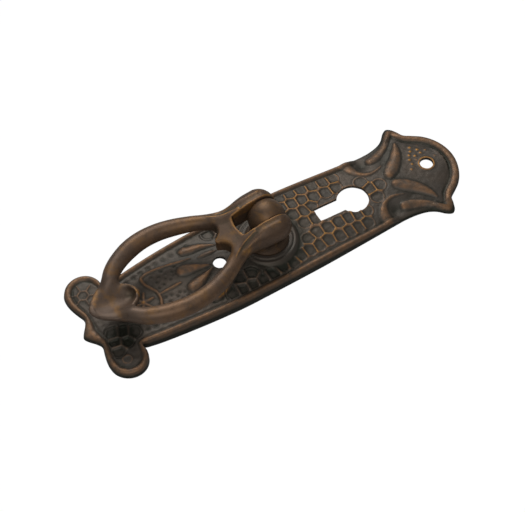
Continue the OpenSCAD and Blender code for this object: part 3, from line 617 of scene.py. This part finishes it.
def handle_field(x, y, z):
    """Distance in millimetres, negative inside, of the cast handle: a bar with oval sections along the
    ring's line and domed at its ends, the web with its scallops, the thumb piece, less the slot, the scoop
    and the pin's bore."""
    side = np.abs(x)
    past = most(y, 0)
    low = np.minimum(y, -0.001)
    chain = smooth(CHAIN, 6)
    d, s = nearest(side, low, chain)
    inner = within(side, low, np.vstack([chain[:, :2], [(-1, chain[-1, 1]), (-1, 0)]]))
    out_w, in_w, depth, power, lift = (np.interp(s, np.arange(len(chain)), chain[:, k]) for k in range(2, 7))
    up = z - lift * np.sqrt(most(0, 1 - (past / ARM_R) ** 2))
    body = oval(d, np.where(inner, in_w, out_w), up, depth, power, past)
    dent, _ = nearest(side, y, smooth(VALLEY, 5))
    crease, _ = nearest(side, y, smooth(CREASE, 5))
    body = body + step(0, 1.5, z) * (0.2 * bell(dent, 0.9) - 0.12 * bell(crease, 0.7))
    web_top = np.interp(y, *np.transpose(WEB_TOP)) - 1.4 * step(5, 8, side) * step(-14.5, -17.5, y)
    web = most(side - np.interp(y, *np.transpose(WEB_HALF)), z - web_top, WEB_LOW - z)
    web = most(web, y - WEB_TOP[-1][0], WEB_TOP[0][0] - y)
    notch = np.hypot(side - SCALLOP[0], y - SCALLOP[1]) - SCALLOP_R
    web = cut(web, notch, 0.9)
    body = join(body, web, 1.3)
    tab = smooth(TAB, 5)[::-1]
    w, e, top, under = (np.interp(y, tab[:, 0], tab[:, k]) for k in (1, 2, 3, 4))
    reach = np.where(z > e, top - e, e - under)
    thumb = (squircle(x / w, (z - e) / reach, 2.3) - 1) * 2
    body = join(body, most(thumb, y - TAB[0][0], TAB[-1][0] - y), 1.2)
    scoop = smooth(SCOOP, 5)[::-1]
    w, floor, rim = (np.interp(y, scoop[:, 0], scoop[:, k]) for k in (1, 2, 3))
    hollow = floor + (rim - floor) * (x / w) ** 2 - z
    hollow = hollow / np.hypot(1, 2 * (rim - floor) * x / w ** 2)
    hollow = most(hollow, y - SCOOP_ENDS[0], SCOOP_ENDS[1] - y)
    body = cut(body, hollow, 1.2 + 0.5 * step(-48, -54, y))
    crotch = CROTCH_R - CROTCH - np.sqrt(most(CROTCH_R ** 2 - side ** 2, 0))
    body = cut(body, most(side - SLOT_HALF, crotch - y), 0.4)
    return cut(body, most(np.hypot(y, z) - PIN_R - BORE_CLEAR, x - PIN_RIGHT), 0.12)


def either_side(grid, axis):
    """A grid less its last layer along an axis, and less its first."""
    first, last = [slice(None)] * 3, [slice(None)] * 3
    first[axis], last[axis] = slice(None, -1), slice(1, None)
    return grid[tuple(first)], grid[tuple(last)]


def surface_net(field, low, spacing):
    """Four-sided faces round the places where a field on a grid changes sign: one point in each box that the
    surface passes through, at the mean of its crossings of the box's edges."""
    inside = field < 0
    shape = np.array(field.shape) - 1
    total, crossings = np.zeros((*shape, 3)), np.zeros(tuple(shape))
    for axis in range(3):
        a, b = either_side(field, axis)
        changes = (a < 0) != (b < 0)
        share = np.where(changes, a / np.where(a == b, 1, a - b), 0)
        others = [k for k in range(3) if k != axis]
        for i, j in ((0, 0), (0, 1), (1, 0), (1, 1)):
            part = [slice(None)] * 3
            for k, first in zip(others, (i, j)):
                part[k] = slice(first, first + shape[k])
            hit = changes[tuple(part)]
            crossings += hit
            for k, at in zip((axis, *others), (share[tuple(part)], i, j)):
                total[..., k] += hit * at
    active = crossings > 0
    number = np.full(tuple(shape), -1)
    number[active] = np.arange(active.sum())
    corner = np.stack(np.nonzero(active), 1)
    points = low + (corner + total[active] / crossings[active][:, None]) * spacing
    faces = []
    for axis in range(3):
        u, v = (axis + 1) % 3, (axis + 2) % 3
        a, b = either_side(inside, axis)
        at = np.stack(np.nonzero(a != b), 1)
        at = at[((at > 0) & (at < shape))[:, [u, v]].all(1)]
        back = [i * np.eye(3, dtype=int)[u] + j * np.eye(3, dtype=int)[v] for i, j in ((1, 1), (0, 1), (0, 0), (1, 0))]
        quad = np.stack([number[tuple((at - b).T)] for b in back], 1)
        leaving = inside[tuple(at.T)]
        quad[~leaving] = quad[~leaving][:, ::-1]
        faces.append(quad)
    return points, np.vstack(faces)


def relaxed(points, faces):
    """Points moved half-way to the mean of their neighbours along the faces' edges."""
    a, b = faces.ravel(), np.roll(faces, -1, 1).ravel()
    n = len(points)
    count = np.bincount(a, minlength=n) + np.bincount(b, minlength=n)
    total = [np.bincount(a, points[b, k], n) + np.bincount(b, points[a, k], n) for k in range(3)]
    return (points + np.stack(total, 1) / count[:, None]) / 2


def onto_surface(points, limit):
    """Points moved along the field's slope to where it is nothing."""
    e = 0.02
    value = handle_field(*points.T)
    slope = np.stack([handle_field(*(points + e * np.eye(3)[k]).T) - value for k in range(3)], 1) / e
    move = value[:, None] * slope / most((slope ** 2).sum(1), 0.05)[:, None]
    return points - np.clip(move, -limit, limit)


def rubbed_and_lit_places(x, y, z, bend):
    """How far the casting's patina is rubbed off: on sharp bends of its surface, where the arms bend, on the edges of
    the slot and on the lip of the thumb piece; less beneath, and little on the thumb piece but for its far rim, where
    the copper on the side toward the key light is a painted highlight."""
    side = np.abs(x)
    # painted highlight: copper on the thumb piece's far rim only, the side the key light falls on
    far_rim_highlight = 0.5 * step(1, -2, x) * step(-60.5, -58, y) * step(0, 1.2, z)
    rub = np.clip((bend - 0.55) / 0.9, 0, 1) * (1 - step(-43, -46, y) * (1 - far_rim_highlight)) * (0.3 + 0.7 * step(-2, 0, z))
    arm_bend = bell(side - 8.1, 1.3) * bell(y + 12, 2.6) * bell(z - 2, 1.3)
    top = step(1.2, 2.6, z)
    slot_edge = bell(side - SLOT_HALF, 0.5) * top * step(-10.5, -9.5, y) * (1 - step(-2, 1, y))
    crotch_edge = bell(y + CROTCH, 0.6) * top * (1 - step(SLOT_HALF - 0.4, SLOT_HALF + 0.6, side))
    lip = bell(y - LIP_Y, 0.5) * (1 - step(2, 3.4, side)) * step(-1, 0, z)
    return most(rub, 0.7 * slot_edge, 0.9 * crotch_edge, 0.9 * lip, 0.8 * arm_bend)


def handle_mesh(s):
    """The handle's surface: the field on a grid, netted, its points evened out and moved onto the field's zero."""
    spacing = s.handle_step / MM
    x, y, z = (np.arange(low, high + spacing, spacing) for low, high in zip(*HANDLE_BOX))
    field = handle_field(x[:, None, None], y[None, :, None], z[None, None, :])
    points, faces = surface_net(field, np.array(HANDLE_BOX[0]), spacing)
    points = onto_surface(points, spacing / 2)
    for _ in range(2):
        points = onto_surface(relaxed(points, faces), spacing / 2)
    points = onto_surface(points, spacing / 2)
    around = sum(handle_field(*(points + sign * BEND_R * np.eye(3)[k]).T) for k in range(3) for sign in (1, -1))
    bend = (around - 6 * handle_field(*points.T)) / BEND_R ** 2
    x, y, z = points.T
    # hollow darkens concave bends with grime and painted shade; the pocket is painted shade in the deep end of the
    # scoop
    pocket = 1.3 * bell(x, 2.4) * bell(y + 47.6, 1.5) * step(-2.5, -2.1, z)
    values = {"rub": rubbed_and_lit_places(x, y, z, bend), "hollow": np.clip((0.05 - bend) / 0.5, pocket, 1.5)}
    a = math.radians(REST_SLOPE)
    turn = np.array([[1, 0, 0], [0, math.cos(a), -math.sin(a)], [0, math.sin(a), math.cos(a)]])
    return points @ turn.T + (0, PEDESTAL_Y, PIVOT_Z), faces, values


# ---- Finishes ----
class Value:
    """A node's output that takes part in arithmetic; each operator adds its Math node."""

    def __init__(self, nodes, socket):
        self.nodes, self.socket = nodes, socket

    def __add__(self, other):
        return self.nodes.math("ADD", self, other)

    def __sub__(self, other):
        return self.nodes.math("SUBTRACT", self, other)

    def __rsub__(self, other):
        return self.nodes.math("SUBTRACT", other, self)

    def __mul__(self, other):
        return self.nodes.math("MULTIPLY", self, other)

    __radd__ = __add__
    __rmul__ = __mul__

    def clamped(self):
        return self.nodes.node("ShaderNodeClamp", {0: self})

    def between(self, low, high):
        """0 at low, 1 at high, smooth between."""
        return self.nodes.node("ShaderNodeMapRange", {0: self, 1: low, 2: high}, interpolation_type="SMOOTHSTEP")


class Nodes:
    """An emptied node tree and the one method that adds its nodes."""

    def __init__(self, tree):
        self.tree = tree
        tree.nodes.clear()

    def node(self, kind, inputs=(), out=0, **settings):
        made = self.tree.nodes.new(kind)
        for key, value in settings.items():
            setattr(made, key, value)
        for key, value in dict(inputs).items():
            if isinstance(value, Value):
                self.tree.links.new(value.socket, made.inputs[key])
            else:
                made.inputs[key].default_value = value
        return Value(self, made.outputs[out]) if made.outputs else None

    def math(self, operation, a, b):
        return self.node("ShaderNodeMath", {0: a, 1: b}, operation=operation)


class Finish(Nodes):
    """A material in the object's own coordinates."""

    def __init__(self, name):
        self.material = bpy.data.materials.new(name)
        self.material.use_nodes = True
        super().__init__(self.material.node_tree)
        self.place = self.node("ShaderNodeTexCoord", out="Object")

    def noise(self, scale, detail=4, rough=0.6, distortion=0.0):
        """Noise of a number of waves a metre."""
        return self.node("ShaderNodeTexNoise", {"Vector": self.place, "Scale": scale, "Detail": detail,
                                                "Roughness": rough, "Distortion": distortion})

    def mix(self, factor, a, b):
        """A colour between a and b."""
        return self.node("ShaderNodeMix", {0: factor, 6: a, 7: b}, 2, data_type="RGBA")

    def attribute(self, name):
        return self.node("ShaderNodeAttribute", out="Fac", attribute_name=name)

    def coordinate(self, axis):
        return self.node("ShaderNodeSeparateXYZ", {0: self.place}, out=axis)

    def surface(self, shader):
        """The material, with a shader on its output."""
        self.node("ShaderNodeOutputMaterial", {"Surface": shader})
        return self.material

    def metal(self, colour, grain, metallic, strength, depth, relief):
        """Satin metal with a grain in its roughness and a relief in its surface."""
        bump = self.node("ShaderNodeBump", {"Strength": strength, "Distance": depth, "Height": relief})
        return self.surface(self.node("ShaderNodeBsdfPrincipled", {
            "Base Color": colour, "Metallic": metallic, "Specular IOR Level": 0.3,
            "Roughness": 0.5 + 0.1 * (grain - 0.5), "Normal": bump,
        }))


def rgba(colour, share=1.0):
    """A share of a colour, with full alpha."""
    return (*(c * share for c in colour), 1.0)


def pressed_finish(s):
    """Dark patina, browner in clouds, rubbed to copper where the relief stands proud, and darkened in the hollows with
    grime and painted shade.
    """
    f = Finish("plate_patina")
    rub, hollow = f.attribute("rub"), f.attribute("hollow")
    clouds = f.noise(95, 5).between(0.38, 0.66)
    grain = f.noise(2600, 3)
    broken = f.noise(560, 4, 0.65).between(0.28, 0.72)
    worn = (rub * (0.55 + 0.6 * broken)).between(0.05, 1)
    dark = f.mix(clouds, rgba(s.patina), rgba(s.patina_brown))
    dark = f.mix((grain - 0.5) * 0.5 + 0.25, dark, rgba(s.patina_brown, 1.5))
    bright = (f.noise(340).between(0.34, 0.74) + (rub - 0.9) * 3).clamped()
    colour = f.mix(worn * 0.92, dark, f.mix(bright, rgba(s.copper), rgba(s.gold)))
    # grime and painted shade in the recesses, with painted shadows round the seat and under the thumb piece
    colour = f.mix((hollow * 0.65).clamped(), colour, rgba(s.grime_and_shade))
    return f.metal(colour, grain, 0.5, 0.22, 0.00012, f.noise(1500) + 0.6 * f.noise(420, 3))


def cloudy_brown(f, s, handled_and_lit, plain):
    """Clouds, and a colour: brown in them where the metal is handled on the handle and lit on the turned pieces, and
    elsewhere a share of its dark tone, which low on the pedestal is painted shade.
    """
    clouds = f.noise(120, 4, 0.55, 0.3).between(0.36, 0.66)
    brown = f.mix(clouds, rgba(s.handle_dark), rgba(s.handle_brown))
    return clouds, f.mix((handled_and_lit + (clouds - 0.5) * 0.5).clamped(), rgba(s.handle_dark, plain), brown)


def spotted(f, s, colour):
    """A colour with dark spots and golden patches."""
    colour = f.mix(f.noise(420, 4, 0.65).between(0.48, 0.7) * 0.55, colour, rgba(s.handle_dark, 0.5))
    return f.mix(f.noise(170, 4, 0.6, 0.6).between(0.48, 0.7) * 0.5, colour, rgba(s.gold, 0.62))


def satin(f, s, colour):
    """The material of a cast or turned piece of a colour."""
    grain = f.noise(2200, 3)
    colour = f.mix((grain - 0.5) * 0.4 + 0.2, colour, rgba(s.handle_brown, 1.3))
    return f.metal(colour, grain, 0.55, 0.15, 0.0001, f.noise(1300) + 0.5 * f.noise(260, 3))


def cast_finish(s):
    """The handle's patina: brown where fingers hold the ring, plain round the fork, greyer at the ring's foot and
    darker on the thumb piece, copper and gold on its worn edges with a painted highlight on the thumb piece's far rim,
    and darkened in its hollows with grime and painted shade."""
    f = Finish("handle_patina")
    down = f.coordinate(1)
    clouds, colour = cloudy_brown(f, s, down.between(-0.013, -0.024), 0.8)
    colour = f.mix(down.between(-0.042, -0.051) * (0.85 - 0.4 * clouds), colour, rgba(s.handle_grey))
    colour = f.mix(down.between(-0.05, -0.057) * 0.8, colour, rgba(s.handle_grey, 0.5))
    colour = spotted(f, s, colour)
    broken = f.noise(500).between(0.3, 0.65)
    # the rub attribute holds worn copper, and on the thumb piece's far rim a painted highlight
    worn = (f.attribute("rub") * (0.6 + 0.7 * broken)).between(0.08, 1)
    colour = f.mix(worn * 0.9, colour, f.mix(broken, rgba(s.copper), rgba(s.gold, 0.9)))
    # grime and painted shade in the hollows and in the scoop's pocket
    colour = f.mix((f.attribute("hollow") * 0.6).clamped(), colour, rgba(s.grime_and_shade, 1.6))
    return satin(f, s, colour)


def turned_finish(s):
    """The turned pieces' patina: brown on the ball, and darkest low on the pedestal, where it is painted shade under
    the arm.
    """
    f = Finish("turned_patina")
    # painted shade: below the ball the pedestal turns nearly black, as if in the arm's shadow
    _, colour = cloudy_brown(f, s, f.coordinate(2).between(0.0105, 0.0135), 0.22)
    return satin(f, s, spotted(f, s, f.mix(0.22, colour, rgba(s.grime_and_shade))))


# ---- Settings ----
def length(name, description, default, low=0.0, high=0.1):
    return FloatProperty(name=name, description=description, default=default, min=low, max=high, precision=5,
                         unit="LENGTH")


def colour(name, description, default):
    return FloatVectorProperty(name=name, description=description, default=default, size=3, min=0, max=1,
                               subtype="COLOR")


def power(name, description, default):
    return FloatProperty(name=name, description=description, default=default, min=0, unit="POWER")


class HandlePlateSettings(bpy.types.PropertyGroup):
    leaf_height: length("Leaf height", "Height of the leaves and drops above the field", 0.0008)
    wall_height: length("Cell wall height", "Height of the walls between the six-sided cells", 0.00032)
    wall_width: length("Cell wall width", "Half the width of a cell wall", 0.00026)
    plate_step: length("Plate mesh step", "Distance between the plate's mesh points", 0.0003, 0.0002)


class HandleCastSettings(bpy.types.PropertyGroup):
    handle_step: length("Handle mesh step", "Distance between the handle's mesh points", 0.00027, 0.00015)


class HandleFinishSettings(bpy.types.PropertyGroup):
    patina: colour("Patina", "Dark patina of the plate", (0.072, 0.065, 0.056))
    patina_brown: colour("Brown patina", "Browner clouds in the patina", (0.091, 0.072, 0.056))
    # Dark colour of the grime in the hollows, also used for the painted shade and shadows
    grime_and_shade: colour("Grime", "Dirt that has settled in the hollows", (0.024, 0.025, 0.017))
    copper: colour("Rubbed copper", "Metal where the patina is rubbed through", (0.3, 0.156, 0.073))
    gold: colour("Golden brass", "Metal in the patches that are rubbed brightest", (0.42, 0.205, 0.045))
    handle_dark: colour("Handle patina", "Darker tone of the handle", (0.11, 0.076, 0.056))
    handle_grey: colour("Handle grey", "Grey-brown tone of the ring's foot", (0.15, 0.116, 0.096))
    handle_brown: colour("Handle brown", "Lighter tone of the handle", (0.19, 0.112, 0.064))


class HandleStageSettings(bpy.types.PropertyGroup):
    lens: FloatProperty(name="Lens", description="Focal length of the camera in millimetres", default=173.9, min=20,
                        max=400)
    distance: length("Distance", "Distance from the camera to its target", 0.7711, 0.1, 5)
    key: power("Key light", "Power of the key light", 2.1)
    front: power("Front light", "Power of the soft light above the camera's side", 1.45)
    fill: FloatProperty(name="Fill light", description="Strength of the light from all round", default=0.28, min=0)


# The stage in metres, and the camera's turn, rise and roll in degrees
FLOOR_HALF = 3.0
FLOOR_Z = -0.0001
KEY_PLACE = (-0.5, 0.12, 0.5)
FRONT_PLACE = (0.42, -0.3, 0.7)
CAMERA_ANGLES = (58.64, 54.96, -0.23)
CAMERA_TARGET = (0.001944, -0.004788, 0.0)


# ---- Operators ----
class HANDLE_OT_plate(bpy.types.Operator):
    """Make the pressed back plate"""

    bl_idname = "handle.make_plate"
    bl_label = "Back plate"

    def execute(self, context):
        scene = context.scene
        plate = new_object("pressed_plate", *plate_mesh(scene.handle_plate))
        plate.data.materials.append(pressed_finish(scene.handle_finish))
        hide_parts("back_plate")
        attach(plate, "base")
        return {"FINISHED"}


class HANDLE_OT_ring(bpy.types.Operator):
    """Make the cast drop handle"""

    bl_idname = "handle.make_ring"
    bl_label = "Drop handle"

    def execute(self, context):
        scene = context.scene
        ring = new_object("cast_handle", *handle_mesh(scene.handle_cast))
        ring.data.materials.append(cast_finish(scene.handle_finish))
        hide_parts("drop_handle")
        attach(ring, "handle")
        return {"FINISHED"}


class HANDLE_OT_turned(bpy.types.Operator):
    """Give the turned pedestal, the pin and the washer their finishes"""

    bl_idname = "handle.finish_turned"
    bl_label = "Turned pieces"

    def execute(self, context):
        material = turned_finish(context.scene.handle_finish)
        for name in ("pedestal", "rivet_washer", "hinge_pin"):
            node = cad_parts[name]
            node.data.materials.clear()
            node.data.materials.append(material)
        return {"FINISHED"}


class HANDLE_OT_stage(bpy.types.Operator):
    """Make the floor, the lights and the camera"""

    bl_idname = "handle.make_stage"
    bl_label = "Stage"

    def execute(self, context):
        scene = context.scene
        s = scene.handle_stage
        x, z = FLOOR_HALF, FLOOR_Z
        floor = new_object("floor", np.array([(-x, -x, z), (x, -x, z), (x, x, z), (-x, x, z)]) / MM, [(0, 1, 2, 3)])
        f = Finish("floor_white")
        seen = f.node("ShaderNodeLightPath", out="Is Camera Ray") * 0.985
        plain = f.node("ShaderNodeBsdfDiffuse", {"Color": (0.6, 0.6, 0.6, 1)})
        bright = f.node("ShaderNodeEmission", {"Color": (1, 1, 1, 1), "Strength": 1.02})
        floor.data.materials.append(f.surface(f.node("ShaderNodeMixShader", {0: seen, 1: plain, 2: bright})))
        self.world(scene, s)
        self.lights(scene, s)
        self.camera(scene, s)
        scene.view_settings.view_transform = "Standard"
        return {"FINISHED"}

    def world(self, scene, s):
        """Pale to the camera, and a soft plain light to all else, brighter above than at the sides."""
        scene.world = bpy.data.worlds.new("studio")
        scene.world.use_nodes = True
        n = Nodes(scene.world.node_tree)
        up = n.node("ShaderNodeSeparateXYZ", {0: n.node("ShaderNodeTexCoord", out="Generated")}, out=2)
        soft = n.node("ShaderNodeMapRange", {0: up, 1: -0.1, 2: 0.9, 3: s.fill * 0.15, 4: s.fill * 1.4})
        seen = n.node("ShaderNodeLightPath", out="Is Camera Ray")
        strength = n.node("ShaderNodeMix", {0: seen, 2: soft, 3: 1.0}, data_type="FLOAT")
        back = n.node("ShaderNodeBackground", {"Strength": strength})
        n.node("ShaderNodeOutputWorld", {"Surface": back})

    def lights(self, scene, s):
        """Two round area lights that face the object's middle."""
        for name, watts, size, place in (("key", s.key, 0.42, KEY_PLACE), ("front", s.front, 0.4, FRONT_PLACE)):
            lamp = bpy.data.lights.new(name, "AREA")
            lamp.energy, lamp.shape, lamp.size = watts, "DISK", size
            obj = bpy.data.objects.new(name, lamp)
            obj.location = place
            obj.rotation_euler = (-Vector(place)).to_track_quat("-Z", "Y").to_euler()
            scene.collection.objects.link(obj)

    def camera(self, scene, s):
        """The photograph's camera, turned round and up from the front and a little rolled."""
        turn, rise, roll = (math.radians(v) for v in CAMERA_ANGLES)
        back = Vector((math.sin(turn) * math.cos(rise), -math.cos(turn) * math.cos(rise), math.sin(rise)))
        right = Vector((math.cos(turn), math.sin(turn), 0))
        up = back.cross(right)
        right, up = math.cos(roll) * right + math.sin(roll) * up, math.cos(roll) * up - math.sin(roll) * right
        camera = bpy.data.cameras.new("camera")
        camera.lens, camera.sensor_width, camera.clip_end = s.lens, 36, 20
        obj = bpy.data.objects.new("camera", camera)
        place = Matrix.Translation(Vector(CAMERA_TARGET) + back * s.distance)
        obj.matrix_world = place @ Matrix((right, up, back)).transposed().to_4x4()
        scene.collection.objects.link(obj)
        scene.camera = obj


class HANDLE_PT_panel(bpy.types.Panel):
    """Lists the pieces and their settings"""

    bl_label = "Pedestal handle"
    bl_idname = "HANDLE_PT_panel"
    bl_space_type = "VIEW_3D"
    bl_region_type = "UI"
    bl_category = "Handle"

    def draw(self, context):
        for group in GROUPS:
            box = self.layout.box()
            for key in group.__annotations__:
                box.prop(getattr(context.scene, GROUPS[group]), key)
        for operator in OPERATORS:
            self.layout.operator(operator.bl_idname)


GROUPS = {HandlePlateSettings: "handle_plate", HandleCastSettings: "handle_cast", HandleFinishSettings: "handle_finish",
          HandleStageSettings: "handle_stage"}
OPERATORS = (HANDLE_OT_plate, HANDLE_OT_ring, HANDLE_OT_turned, HANDLE_OT_stage)


def register():
    for cls in (*GROUPS, *OPERATORS, HANDLE_PT_panel):
        bpy.utils.register_class(cls)
    for group, name in GROUPS.items():
        setattr(bpy.types.Scene, name, PointerProperty(type=group))


def unregister():
    for name in GROUPS.values():
        delattr(bpy.types.Scene, name)
    for cls in reversed((*GROUPS, *OPERATORS, HANDLE_PT_panel)):
        bpy.utils.unregister_class(cls)


def main():
    register()
    bpy.ops.handle.make_plate()
    bpy.ops.handle.make_ring()
    bpy.ops.handle.finish_turned()
    bpy.ops.handle.make_stage()


if __name__ == "__main__":
    main()
